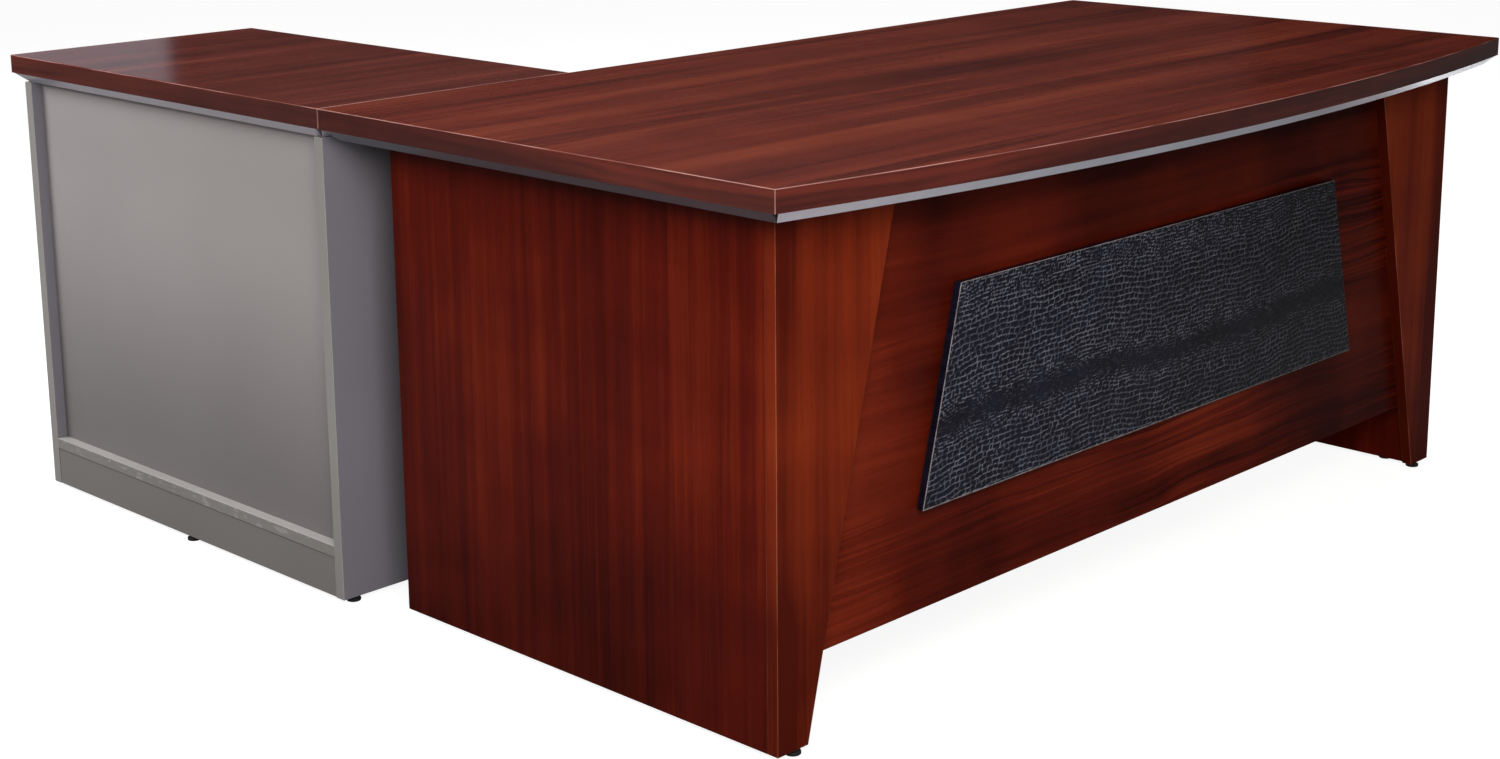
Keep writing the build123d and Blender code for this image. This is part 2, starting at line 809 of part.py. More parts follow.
middle_knuckle = (outer_knuckle + knuckle_play, hinge_height - outer_knuckle - knuckle_play)
with BuildPart() as cabinet_leaves:
    for level_z in hinge_levels:
        end_knuckles = ((0, outer_knuckle), (hinge_height - outer_knuckle, hinge_height))
        hinge_leaf(level_z, (cab_right, cab_right + leaf_sheet), end_knuckles)
    hinge_bores()
keep(cabinet_leaves, "hinge_leaves_cabinet")

with BuildPart() as door_leaves:
    for level_z in hinge_levels:
        hinge_leaf(level_z, (front_back - leaf_sheet, front_back), (middle_knuckle,))
    hinge_bores()
keep(door_leaves, "hinge_leaves_door")

with BuildPart() as hinge_pins:
    for level_z in hinge_levels:
        with BuildSketch(Plane.XY.offset(level_z)):
            with Locations((hinge_x, hinge_y)):
                Circle(hinge_pin_radius)
        extrude(amount=hinge_height)
keep(hinge_pins, "hinge_pins")
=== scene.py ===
import math

import bpy
import numpy as np
from mathutils import Matrix, Vector


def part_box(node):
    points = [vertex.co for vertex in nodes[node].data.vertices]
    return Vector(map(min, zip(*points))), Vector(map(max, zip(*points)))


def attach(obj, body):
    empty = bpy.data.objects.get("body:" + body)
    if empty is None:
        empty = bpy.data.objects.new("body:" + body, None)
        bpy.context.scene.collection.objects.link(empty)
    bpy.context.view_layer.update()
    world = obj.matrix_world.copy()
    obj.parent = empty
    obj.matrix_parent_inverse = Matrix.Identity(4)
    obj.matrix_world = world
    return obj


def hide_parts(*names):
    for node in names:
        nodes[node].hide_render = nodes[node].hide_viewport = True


# Looks of the executive corner desk: veneer, silver edge trims, grey laminate cabinet and the
# embossed leather insert. Lengths are in metres. The frame is +Z up, with the visitor's side
# towards -Y and the return at -X.

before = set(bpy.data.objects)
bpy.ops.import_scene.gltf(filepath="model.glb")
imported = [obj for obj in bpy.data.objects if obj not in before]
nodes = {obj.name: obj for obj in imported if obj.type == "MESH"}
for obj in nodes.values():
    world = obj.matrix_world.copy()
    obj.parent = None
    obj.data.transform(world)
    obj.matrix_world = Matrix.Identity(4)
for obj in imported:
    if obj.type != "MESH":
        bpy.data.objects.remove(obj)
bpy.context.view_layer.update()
scene = bpy.context.scene


# ---------------------------------------------------------------- shader building

class Shader:
    """One procedural material; its methods add nodes and return their outputs."""

    def __init__(self, name):
        self.material = bpy.data.materials.new(name)
        self.material.use_nodes = True
        self.tree = self.material.node_tree
        self.tree.nodes.clear()
        self.surface = self.tree.nodes.new("ShaderNodeBsdfPrincipled")
        output = self.tree.nodes.new("ShaderNodeOutputMaterial")
        self.tree.links.new(self.surface.outputs[0], output.inputs["Surface"])
        # Both are the object's own, so a pattern travels with its body. Place is in metres.
        coordinates = self.tree.nodes.new("ShaderNodeTexCoord")
        self.place = coordinates.outputs["Object"]
        self.facing = coordinates.outputs["Normal"]

    def put(self, socket, value):
        """Link an output to a socket, or set the socket's own value."""
        if isinstance(value, bpy.types.NodeSocket):
            self.tree.links.new(value, socket)
        else:
            socket.default_value = value

    def set(self, **values):
        """Set inputs of the surface shader; underscores stand for spaces."""
        for name, value in values.items():
            self.put(self.surface.inputs[name.replace("_", " ")], value)

    def math(self, operation, first, second=0.0, third=0.0):
        node = self.tree.nodes.new("ShaderNodeMath")
        node.operation = operation
        for socket, value in zip(node.inputs, (first, second, third)):
            self.put(socket, value)
        return node.outputs[0]

    def split(self, vector):
        node = self.tree.nodes.new("ShaderNodeSeparateXYZ")
        self.put(node.inputs[0], vector)
        return node.outputs[0], node.outputs[1], node.outputs[2]

    def join(self, x, y, z):
        node = self.tree.nodes.new("ShaderNodeCombineXYZ")
        for socket, value in zip(node.inputs, (x, y, z)):
            self.put(socket, value)
        return node.outputs[0]

    def noise(self, vector, scale=1.0, detail=2.0, roughness=0.5):
        node = self.tree.nodes.new("ShaderNodeTexNoise")
        self.put(node.inputs["Vector"], vector)
        node.inputs["Scale"].default_value = scale
        node.inputs["Detail"].default_value = detail
        node.inputs["Roughness"].default_value = roughness
        return node.outputs[0]

    def white_noise(self, value):
        """One random number for each value."""
        node = self.tree.nodes.new("ShaderNodeTexWhiteNoise")
        node.noise_dimensions = "1D"
        self.put(node.inputs["W"], value)
        return node.outputs[0]

    def attribute(self, name):
        node = self.tree.nodes.new("ShaderNodeAttribute")
        node.attribute_name = name
        return node.outputs["Fac"]

    def cells(self, vector, scale):
        """Distance to the nearest wall between random cells."""
        node = self.tree.nodes.new("ShaderNodeTexVoronoi")
        node.feature = "DISTANCE_TO_EDGE"
        self.put(node.inputs["Vector"], vector)
        node.inputs["Scale"].default_value = scale
        return node.outputs[0]

    def between(self, value, low, high, to_low=0.0, to_high=1.0):
        """Smooth step of value: to_low at low and before it, to_high at high and past it."""
        node = self.tree.nodes.new("ShaderNodeMapRange")
        node.interpolation_type = "SMOOTHSTEP"
        for socket, number in zip(node.inputs, (value, low, high, to_low, to_high)):
            self.put(socket, number)
        return node.outputs[0]

    def choose(self, factor, first, second):
        """First where factor is 0, second where it is 1."""
        node = self.tree.nodes.new("ShaderNodeMix")
        for name, value in (("Factor", factor), ("A", first), ("B", second)):
            self.put(node.inputs[name], value)
        return node.outputs[0]

    def blend(self, factor, first, second, mode="MIX"):
        """The same for colours; mode says how the second is laid over the first."""
        node = self.tree.nodes.new("ShaderNodeMix")
        node.data_type = "RGBA"
        node.blend_type = mode
        lower, upper = [s for s in node.inputs if s.type == "RGBA"]
        self.put(node.inputs[0], factor)
        self.put(lower, first)
        self.put(upper, second)
        return [s for s in node.outputs if s.type == "RGBA"][0]

    def ramp(self, value, stops):
        """Colours along a value: stops are (position, (red, green, blue))."""
        node = self.tree.nodes.new("ShaderNodeValToRGB")
        self.put(node.inputs[0], value)
        elements = node.color_ramp.elements
        while len(elements) < len(stops):
            elements.new(0.5)
        for element, (position, colour) in zip(elements, stops):
            element.position = position
            element.color = (*colour, 1.0)
        return node.outputs[0]

    def arris(self):
        """1 on the rounded edges of a board, 0 on its flat faces."""
        faces = [self.math("ABSOLUTE", part) for part in self.split(self.facing)]
        flattest = self.math("MAXIMUM", self.math("MAXIMUM", faces[0], faces[1]), faces[2])
        return self.between(flattest, 0.965, 0.90)

    def bump(self, height, distance, strength):
        """A normal that shows a height as relief, distance metres deep."""
        node = self.tree.nodes.new("ShaderNodeBump")
        node.inputs["Strength"].default_value = strength
        node.inputs["Distance"].default_value = distance
        self.put(node.inputs["Height"], height)
        return node.outputs[0]


def paint(material, *names):
    """Give a material to CAD nodes."""
    for name in names:
        mesh = nodes[name].data
        mesh.materials.clear()
        mesh.materials.append(material)


# ---------------------------------------------------------------- veneer

def board_coordinates(shader, kind):
    """Distances along and across the grain, on every face of a top, an upright or a level board."""
    x, y, z = shader.split(shader.place)
    facing_x, _, facing_z = shader.split(shader.facing)
    on_x = shader.math("GREATER_THAN", shader.math("ABSOLUTE", facing_x), 0.6)
    on_z = shader.math("GREATER_THAN", shader.math("ABSOLUTE", facing_z), 0.6)
    if kind == "top":
        along = shader.choose(on_x, x, y)
        across = shader.choose(on_z, z, y)
    elif kind == "upright":
        along = z
        across = shader.choose(on_x, x, y)
    else:
        along = x
        across = shader.choose(on_z, z, y)
    return along, across


def veneer(name, kind, seed, tones, leaf=0.13, leaf_contrast=0.25, bands=(0.14, 1.0), waver=0.07,
           streaks=0.6, figure=(70.0, 0.3), blotches=0.0, wood_gloss=(0.36, 0.06),
           coat=(0.03, 0.25), edge_highlight_and_wear=((0.20, 0.045, 0.02), 0.5), painted_light_and_shade=(), painted_side_shade=0.0,
           painted_left_shade=0.0):
    """Stained veneer under lacquer.

    kind: top, upright or level, for the way the grain runs
    tones: its dark, middle and light colours
    leaf, leaf_contrast: width of a slip-matched leaf, and how much the leaves differ
    bands: width and contrast of the broad bands; waver is how far they stray, in metres
    streaks: contrast of the fine streaks
    figure: growth lines per metre, and their contrast
    blotches: unevenness of the stain
    wood_gloss: roughness and specular level of the wood
    coat: weight and roughness of the lacquer
    edge_highlight_and_wear: the pale arris colour, a painted highlight along with rubbing, and how
    much
    painted_light_and_shade: (axis, from, to, amount), painted light and shade, stretches over which
    the tone gets lighter by an amount, darker where it is negative, on faces that don't look along
    that axis
    painted_side_shade, painted_left_shade: painted shade, how much lighter the faces are that look
    sideways, and to the left (darker where negative)
    """
    shader = Shader(name)
    along, across = board_coordinates(shader, kind)
    edge_waver = shader.noise(shader.join(shader.math("MULTIPLY", along, 3.0), seed, 0.0))
    leaf_place = shader.math("DIVIDE", shader.math("MULTIPLY_ADD", edge_waver, 0.004, across), leaf)
    leaf_number = shader.math("FLOOR", leaf_place)
    leaf_luck = shader.white_noise(shader.math("ADD", leaf_number, seed))
    along = shader.math("MULTIPLY_ADD", leaf_luck, 4.0, along)

    def stretched(per_metre_along, per_metre_across, shift, side=across):
        """A place on the board for a noise with that many features per metre each way."""
        return shader.join(
            shader.math("MULTIPLY", along, per_metre_along),
            shader.math("MULTIPLY", side, per_metre_across),
            seed + shift,
        )

    drift = shader.noise(stretched(1.1, 3.0, 0.0), detail=2.0)
    bent = shader.math("MULTIPLY_ADD", drift, waver, across)
    broad = shader.noise(stretched(0.5, 1.0 / bands[0], 3.0, bent), detail=3.0, roughness=0.55)
    fine_streaks = shader.noise(stretched(1.3, 70.0, 5.0, bent), detail=4.0, roughness=0.65)
    fibres = shader.noise(stretched(9.0, 650.0, 7.0), detail=3.0, roughness=0.6)
    swell = shader.noise(stretched(2.2, 9.0, 9.0), detail=2.0)
    ring_place = shader.math("MULTIPLY_ADD", swell, 1.4 * waver, across)
    rings = shader.noise(
        shader.join(shader.math("MULTIPLY", ring_place, figure[0]),
                    shader.math("MULTIPLY", along, 1.2), seed + 11.0),
        detail=2.0, roughness=0.6,
    )
    ring_zone = shader.between(shader.noise(stretched(0.8, 3.5, 13.0)), 0.42, 0.62)
    shimmer = shader.noise(stretched(11.0, 4.0, 17.0), detail=2.0)
    stain = shader.noise(shader.place, scale=3.6, detail=2.0)

    tone = 0.5
    for layer, strength in (
        (leaf_luck, leaf_contrast), (broad, 1.6 * bands[1]), (fine_streaks, streaks),
        (fibres, 0.25), (shimmer, 0.22), (stain, blotches),
    ):
        tone = shader.math("MULTIPLY_ADD", shader.math("SUBTRACT", layer, 0.5), strength, tone)
    # painted light and shade: the tone made lighter or darker over stretches of the board
    for axis, start, end, amount in painted_light_and_shade:
        number = "xyz".index(axis)
        step = shader.between(shader.split(shader.place)[number], start, end, 0.0, amount)
        looks_along = shader.math("ABSOLUTE", shader.split(shader.facing)[number])
        tone = shader.math("MULTIPLY_ADD", step, shader.between(looks_along, 0.9, 0.6), tone)
    # painted shade on the faces that look sideways
    looks_up = shader.math("ABSOLUTE", shader.split(shader.facing)[2])
    tone = shader.math("ADD", tone, shader.between(looks_up, 0.6, 0.3, 0.0, painted_side_shade))
    # painted shade on the faces that look to the left
    looks_left = shader.math("MULTIPLY", shader.split(shader.facing)[0], -1.0)
    tone = shader.math("ADD", tone, shader.between(looks_left, 0.6, 0.9, 0.0, painted_left_shade))
    ring_lines = shader.math("MULTIPLY", shader.math("SUBTRACT", rings, 0.5), ring_zone)
    tone = shader.math("MULTIPLY_ADD", ring_lines, 2.2 * figure[1], tone)
    colour = shader.ramp(tone, [(0.10, tones[0]), (0.5, tones[1]), (0.90, tones[2])])

    pores = shader.between(shader.noise(stretched(60.0, 1700.0, 19.0), detail=1.0), 0.36, 0.30)
    dark = tuple(0.35 * c for c in tones[0]) + (1.0,)
    colour = shader.blend(shader.math("MULTIPLY", pores, 0.4), colour, dark)
    # pale arrises: a painted highlight along with rub wear, broken up in patches
    highlight_and_wear_patches = shader.noise(shader.place, scale=7.0, detail=5.0)
    highlight_and_wear_patches = shader.between(highlight_and_wear_patches, 0.38, 0.60, 0.15, 1.0)
    highlight_and_wear_mask = shader.math("MULTIPLY", shader.arris(), shader.math("MULTIPLY", highlight_and_wear_patches, edge_highlight_and_wear[1]))
    colour = shader.blend(highlight_and_wear_mask, colour, (*edge_highlight_and_wear[0], 1.0))
    smudge = shader.noise(shader.place, scale=6.0, detail=3.0)
    shader.set(
        Base_Color=colour,
        Roughness=shader.math("MULTIPLY_ADD", smudge, 0.16, wood_gloss[0] - 0.08),
        Specular_IOR_Level=wood_gloss[1],
        Coat_Weight=coat[0],
        Coat_Roughness=coat[1],
        Coat_IOR=1.5,
    )
    relief = shader.math("MULTIPLY_ADD", pores, -0.6, fibres)
    shader.set(Normal=shader.bump(relief, 0.00006, 0.35))
    orange_peel = shader.noise(shader.place, scale=90.0, detail=1.0)
    shader.set(Coat_Normal=shader.bump(orange_peel, 0.0003, 0.05))
    return shader.material


top_tones = ((0.050, 0.0070, 0.0050), (0.148, 0.0225, 0.0120), (0.250, 0.0480, 0.0215))
return_tones = ((0.045, 0.0090, 0.0070), (0.120, 0.0230, 0.0160), (0.200, 0.0430, 0.0260))
panel_tones = ((0.030, 0.0016, 0.0008), (0.088, 0.0062, 0.0022), (0.190, 0.0190, 0.0050))
fascia_tones = ((0.070, 0.0060, 0.0022), (0.180, 0.0200, 0.0050), (0.290, 0.0440, 0.0110))
modesty_tones = ((0.028, 0.0021, 0.0011), (0.110, 0.0100, 0.0036), (0.215, 0.0250, 0.0075))

# the tops' sideways faces get painted shade, and their pale arrises are a painted highlight along
# with rub wear
top_finish = {"kind": "top", "leaf": 0.21, "leaf_contrast": 0.10, "bands": (0.10, 0.95),
              "streaks": 0.75, "figure": (60.0, 0.15), "wood_gloss": (0.42, 0.3),
              "coat": (1.0, 0.15), "painted_side_shade": -0.2, "edge_highlight_and_wear": ((0.50, 0.27, 0.24), 0.62)}
panel_finish = {"kind": "upright", "leaf": 0.2, "leaf_contrast": 0.12, "bands": (0.05, 0.4),
                "waver": 0.012, "streaks": 0.5, "figure": (90.0, 0.2), "blotches": 0.8}
fascia_finish = {"kind": "upright", "leaf": 0.5, "leaf_contrast": 0.1, "bands": (0.08, 0.45),
                 "waver": 0.02, "streaks": 0.5, "figure": (110.0, 0.35), "blotches": 0.9,
                 "edge_highlight_and_wear": ((0.38, 0.14, 0.08), 0.65)}
paint(veneer("veneer_main_top", seed=1.0, tones=top_tones, **top_finish), "main_top")
paint(veneer("veneer_return_top", seed=31.0, tones=return_tones, **top_finish), "return_top")
for side, seed in (("left", 52.0), ("right", 67.0)):
    # on the end panels, painted shade towards the floor and the rear, and painted light near the
    # front
    paint(veneer(f"veneer_end_{side}", seed=seed, tones=panel_tones,
                 painted_light_and_shade=(("z", 0.30, 0.0, -0.18), ("y", -0.35, 0.0, -0.08),
                        ("y", -0.6, -0.78, 0.05)), **panel_finish),
          f"end_panel_{side}")
    # on the fascias, painted shade near the outer edge, near the floor and under the top
    low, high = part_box(f"fascia_{side}")
    outer, inner = (low.x, high.x) if side == "left" else (high.x, low.x)
    dark_up_to = outer + 0.06 * (inner - outer)
    dark_ends = outer + 0.25 * (inner - outer)
    paint(veneer(f"veneer_fascia_{side}", seed=seed + 31.0, tones=fascia_tones,
                 painted_light_and_shade=(("x", dark_ends, dark_up_to, -0.28),
                        ("z", 0.42, 0.0, -0.30), ("z", 0.62, 0.71, -0.12)),
                 # the right fascia's left-facing side gets painted shade, for the recess beside the
                 # modesty panel
                 painted_left_shade=0.0 if side == "left" else -0.8, **fascia_finish),
          f"fascia_{side}")
# on the modesty panel, painted light to the left, and painted shade to the right, under the top and
# near the floor
paint(veneer("veneer_modesty", "level", 118.0, modesty_tones, leaf=0.9, leaf_contrast=0.05,
             bands=(0.09, 0.6), waver=0.04, streaks=0.35, figure=(140.0, 0.75), blotches=0.8,
             edge_highlight_and_wear=((0.40, 0.20, 0.14), 0.7),
             painted_light_and_shade=(("x", -0.5, -0.75, 0.28), ("x", -0.2, 0.7, -0.22), ("z", 0.60, 0.70, -0.25),
                    ("z", 0.40, 0.12, -0.13))),
      "modesty_panel")


# ---------------------------------------------------------------- laminate, metal, plastic, board

def laminate(name, colour, seed, side_colour=None, painted_light_upper_colour=None, band=None, fade=1.0):
    """Satin grey laminate with pale arrises, a painted highlight along with rubbing.

    side_colour is for the faces that look along Y, where they differ, and
    painted_light_upper_colour is painted light, a lighter colour for those that look up. Between
    the two heights of band, rubs and chips show the pale core. Fade is painted shade: how much of
    its lightness the sheet keeps near the floor.
    """
    shader = Shader(name)
    x, y, z = shader.split(shader.place)
    cloud = shader.noise(shader.join(x, y, shader.math("ADD", z, seed)), scale=2.2, detail=2.0)
    speck = shader.noise(shader.place, scale=900.0, detail=1.0)
    shade = shader.math("MULTIPLY_ADD", cloud, 0.24, shader.math("MULTIPLY", speck, 0.10))
    shade = shader.between(shade, 0.04, 0.30, 0.9, 1.1)
    # painted shade: darker towards the floor, by the fade
    shade = shader.math("MULTIPLY", shade, shader.between(z, 0.56, 0.12, 1.0, fade))
    _, facing_y, facing_z = shader.split(shader.facing)
    tint = (*colour, 1.0)
    if side_colour is not None:
        sideways = shader.between(shader.math("ABSOLUTE", facing_y), 0.8, 0.95)
        tint = shader.blend(sideways, tint, (*side_colour, 1.0))
    # painted light: a lighter colour on the faces that look up
    if painted_light_upper_colour is not None:
        tint = shader.blend(shader.between(facing_z, 0.8, 0.95), tint, (*painted_light_upper_colour, 1.0))
    tint = shader.blend(1.0, tint, shader.join(shade, shade, shade), "MULTIPLY")
    # pale arrises: a painted highlight along with rub wear, broken up in patches
    highlight_and_wear_patches = shader.noise(shader.place, scale=7.0, detail=4.0)
    highlight_and_wear_patches = shader.between(highlight_and_wear_patches, 0.3, 0.6, 0.4, 1.0)
    highlight_and_wear_mask = shader.math("MULTIPLY", shader.arris(), shader.math("MULTIPLY", highlight_and_wear_patches, 0.6))
    tint = shader.blend(highlight_and_wear_mask, tint, (0.50, 0.48, 0.46, 1.0))
    if band is not None:
        low, high = band
        arris_height = 0.001
        within = shader.math("MULTIPLY", shader.between(z, low, low + arris_height),
                             shader.between(z, high, high - arris_height))
        smears = shader.noise(shader.join(x, shader.math("MULTIPLY", y, 34.0),
                                          shader.math("MULTIPLY", z, 90.0)), detail=2.0)
        smears = shader.math("MULTIPLY", within, shader.between(smears, 0.56, 0.68, 0.0, 0.4))
        tint = shader.blend(smears, tint, (0.42, 0.42, 0.41, 1.0))
        chips = shader.noise(shader.join(x, shader.math("MULTIPLY", y, 60.0),
                                         shader.math("MULTIPLY", z, 110.0)), detail=1.0)
        chips = shader.math("MULTIPLY", within, shader.between(chips, 0.76, 0.79))
        tint = shader.blend(chips, tint, (0.80, 0.78, 0.76, 1.0))
    scuff = shader.noise(shader.place, scale=14.0, detail=4.0)
    shader.set(
        Base_Color=tint,
        Roughness=shader.math("MULTIPLY_ADD", scuff, 0.2, 0.3),
        Specular_IOR_Level=0.25,
        Normal=shader.bump(speck, 0.0001, 0.25),
    )
    return shader.material


def metal(name, colour, roughness, along, clear=0.0, metallic=1.0):
    """Metal or foil with fine drawn lines along one axis.

    Clear is the weight of its clear coat. Metallic is a number, or (from, to, amount) where a
    foil gets shinier along X.
    """
    shader = Shader(name)
    parts = shader.split(shader.place)
    if isinstance(metallic, tuple):
        start, end, amount = metallic
        metallic = shader.between(parts[0], start, end, 0.0, amount)
    per_metre_along, per_metre_across = 6.0, 900.0
    stretched = [shader.math("MULTIPLY", part,
                             per_metre_along if axis == along else per_metre_across)
                 for part, axis in zip(parts, "xyz")]
    fine = shader.noise(shader.join(*stretched), detail=2.0)
    cloud = shader.noise(shader.place, scale=9.0, detail=3.0)
    tint = shader.ramp(cloud, [(0.3, tuple(c * 0.88 for c in colour)), (0.7, colour)])
    shader.set(
        Base_Color=tint,
        Metallic=metallic,
        Roughness=shader.math("MULTIPLY_ADD", fine, 0.16, roughness),
        Coat_Weight=clear,
        Coat_Roughness=0.12,
        Normal=shader.bump(fine, 0.00005, 0.3),
    )
    return shader.material


def plain_board(name, colour, scale=260.0, roughness=0.55):
    """Pressed or painted board, or dull plastic, with a flecked surface."""
    shader = Shader(name)
    flecks = shader.noise(shader.place, scale=scale, detail=3.0, roughness=0.7)
    cloud = shader.noise(shader.place, scale=7.0, detail=2.0)
    shade = shader.math("MULTIPLY_ADD", flecks, 0.6, shader.math("MULTIPLY", cloud, 0.4))
    tint = shader.ramp(shade, [(0.3, tuple(c * 0.7 for c in colour)),
                               (0.7, tuple(min(1.0, c * 1.2) for c in colour))])
    shader.set(Base_Color=tint, Roughness=shader.math("MULTIPLY_ADD", flecks, 0.2, roughness),
               Normal=shader.bump(flecks, 0.0003, 0.4))
    return shader.material


grey = (0.30, 0.285, 0.285)
blue_grey = (0.225, 0.218, 0.255)
floor_low, floor_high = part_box("cabinet_floor")
cabinet_grey = laminate("laminate_grey", grey, 3.0)
paint(laminate("laminate_ends", (0.27, 0.26, 0.25), 11.0, side_colour=blue_grey),
      "cabinet_side_near", "cabinet_side_far")
paint(cabinet_grey, "cabinet_partition", "cabinet_rails", "cabinet_shelf", "kickboard_inner",
      "door_panel")
# fade=0.58 paints shade on the cabinet back near the floor
paint(laminate("laminate_back", (0.330, 0.305, 0.308), 17.0, fade=0.58), "cabinet_back")
# the lighter colour on the cabinet floor's upper face is painted light on the ledge
paint(laminate("laminate_floor", (0.225, 0.215, 0.205), 29.0, painted_light_upper_colour=(0.36, 0.345, 0.34),
               band=(floor_low.z, floor_high.z)), "cabinet_floor")
paint(laminate("laminate_kickboard", (0.200, 0.188, 0.184), 23.0), "kickboard_outer")
for number in (1, 2, 3):
    paint(laminate(f"laminate_drawer_{number}", grey, 40.0 + 7 * number), f"drawer_{number}_front")

silver_x = metal("silver_foil_x", (0.84, 0.86, 0.96), 0.30, "x", clear=0.3,
                 metallic=(0.2, 0.75, 0.6))
silver_y = metal("silver_foil_y", (0.62, 0.62, 0.72), 0.26, "y", clear=0.6, metallic=0.3)
# a dark copy of the silver foil: painted shade on the trims at the main top's ends
silver_foil_painted_shade = metal("silver_foil_painted_shade", (0.20, 0.21, 0.25), 0.34, "y", clear=0.3, metallic=0.5)
paint(silver_x, "main_trim_front", "main_trim_rear", "return_trim_near", "return_trim_far")
paint(silver_y, "return_trim_outer", "return_trim_inner")
paint(silver_foil_painted_shade, "main_trim_left", "main_trim_right")

zinc = metal("zinc_plate", (0.55, 0.56, 0.58), 0.32, "x")
paint(zinc, "runner_outers", "angle_brackets", "bracket_screws", "shelf_pins",
      "hinge_leaves_cabinet", "hinge_leaves_door", "hinge_pins", "lock_cam",
      *(f"drawer_{i}_runner_{part}" for i in (1, 2, 3) for part in ("middles", "inners")))
paint(metal("nickel", (0.72, 0.71, 0.69), 0.14, "x"), "lock_barrel", "lock_plug")
paint(metal("satin_nickel_y", (0.80, 0.79, 0.77), 0.26, "y", metallic=0.45),
      *(f"drawer_{i}_handle" for i in (1, 2, 3)))
paint(metal("satin_nickel_z", (0.80, 0.79, 0.77), 0.26, "z", metallic=0.45), "door_handle")

paint(plain_board("fibreboard", (0.36, 0.25, 0.15)), "main_subtop", "return_subtop")
paint(plain_board("black_edge", (0.012, 0.012, 0.014), 120.0, 0.4), "insert_backing",
      "insert_board")
paint(plain_board("drawer_lining", (0.46, 0.45, 0.43), 700.0, 0.45),
      *(f"drawer_{i}_{part}" for i in (1, 2, 3) for part in ("wrap", "base")))
paint(plain_board("black_plastic", (0.02, 0.02, 0.022), 900.0, 0.45), "levelling_feet")


# ---------------------------------------------------------------- embossed leather of the insert

leather_low, leather_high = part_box("insert_leather")
face_height = leather_high.z - leather_low.z
half_low = leather_high.x


def half_width_above():
    """Half width of the leather's upper edge, read off its own corners."""
    close = 0.0001
    return max(v.co.x for v in nodes["insert_leather"].data.vertices
               if v.co.z > leather_high.z - close)


half_high = half_width_above()


# Zones of the embossing, in millimetres: a height on the panel, and the height,
# width and relief of the scales there. Large scales low down and above the middle, a nearly
# smooth strip between them, and fine scales along the upper edge.
scale_zones = np.array([
    (0.0, 8.0, 12.0, 0.55),
    (70.0, 8.2, 12.5, 0.55),
    (88.0, 5.4, 7.2, 0.36),
    (104.0, 3.8, 5.0, 0.20),
    (116.0, 3.8, 5.0, 0.16),
    (138.0, 5.0, 6.8, 0.36),
    (165.0, 8.0, 11.5, 0.55),
    (235.0, 8.8, 13.0, 0.60),
    (268.0, 5.4, 6.4, 0.44),
    (330.0, 5.0, 5.6, 0.42),
]) / 1000


def scale_sizes(height):
    """Height, width and relief of the scales at heights on the panel."""
    stops, *sizes = scale_zones.T
    return tuple(np.interp(height, stops, size) for size in sizes)


def smooth(value):
    value = np.clip(value, 0.0, 1.0)
    return value * value * (3.0 - 2.0 * value)


def scale_relief(u, v):
    """Embossing at points of the face: depth below the scales' tops, paleness and luck.

    U and v are the places across and up the face. Paleness is how much of the pale crease colour
    shows, a painted highlight along with dust and rubbing in the creases, and luck is one number
    per scale.
    """
    draw = np.random.default_rng(7)
    # the height that a place would have if the rows of scales ran straight
    flow = v + 0.007 * np.sin(u * 8.0 + 0.5) + 0.0028 * np.sin(u * 23.0 + 2.0)
    flow += 0.0012 * np.sin(u * 83.0 + v * 55.0) + 0.0009 * np.sin(v * 140.0 - u * 61.0 + 1.0)
    # the number of the row at each height, from the rows' own heights
    ladder = np.linspace(-0.04, 0.36, 4001)
    row_of = np.concatenate([[0.0], np.cumsum(np.diff(ladder) / scale_sizes(ladder[1:])[0])])
    row = np.interp(flow, ladder, row_of)
    row += 0.05 * np.sin(u * 210.0 + 1.9 * row) + 0.03 * np.sin(u * 530.0 + 3.1 * row)
    count = int(row_of[-1]) + 3
    row_middles = np.interp(np.arange(count) + 0.5, row_of, ladder)
    row_height, row_width, row_depth = scale_sizes(row_middles)
    row_shift = draw.random(count)
    columns = 420
    jitter = draw.uniform(-0.3, 0.3, (count, columns))
    luck = draw.random((count, columns))

    at_row = np.clip(np.floor(row).astype(int), 0, count - 1)
    within_row = row - at_row
    height, width, depth = row_height[at_row], row_width[at_row], row_depth[at_row]
    lean = (within_row - 0.5) * draw.uniform(-0.35, 0.35, count)[at_row]
    left_of_all = 0.7
    column = (u + left_of_all) / width + row_shift[at_row] + lean
    # walls between the scales of a row stray from whole numbers, so the nearest are looked for
    cell = first_guess = np.floor(column).astype(int)
    far = 9.0
    below = np.full(u.shape, -far)
    above = np.full(u.shape, far)
    for step in (-1, 0, 1, 2):
        edge = first_guess + step
        gap = edge + jitter[at_row, np.clip(edge, 0, columns - 1)] - column
        cell = np.where((gap <= 0) & (gap > below), edge, cell)
        below = np.where(gap <= 0, np.maximum(below, gap), below)
        above = np.where(gap > 0, np.minimum(above, gap), above)
    to_column_edge = np.minimum(-below, above) * width
    to_row_edge = np.minimum(within_row, 1.0 - within_row) * height
    crease_width = np.clip(0.2 * height, 0.0007, 0.0015)
    row_crease = 1.0 - smooth(to_row_edge / crease_width)
    column_crease = 1.0 - smooth(to_column_edge / crease_width)
    crease = np.maximum(row_crease, column_crease)
    span = np.maximum(above - below, 0.2)
    dome = 1.0 - 16.0 * within_row * (1.0 - within_row) * (-below / span) * (above / span)
    relief_for_full_paleness = 0.00034
    strength = np.clip(depth / relief_for_full_paleness, 0.0, 1.0)
    pale = strength * np.maximum(row_crease, 0.9 * column_crease)
    return depth * (0.7 * crease + 0.4 * dome), pale, luck[at_row, np.clip(cell, 0, columns - 1)]


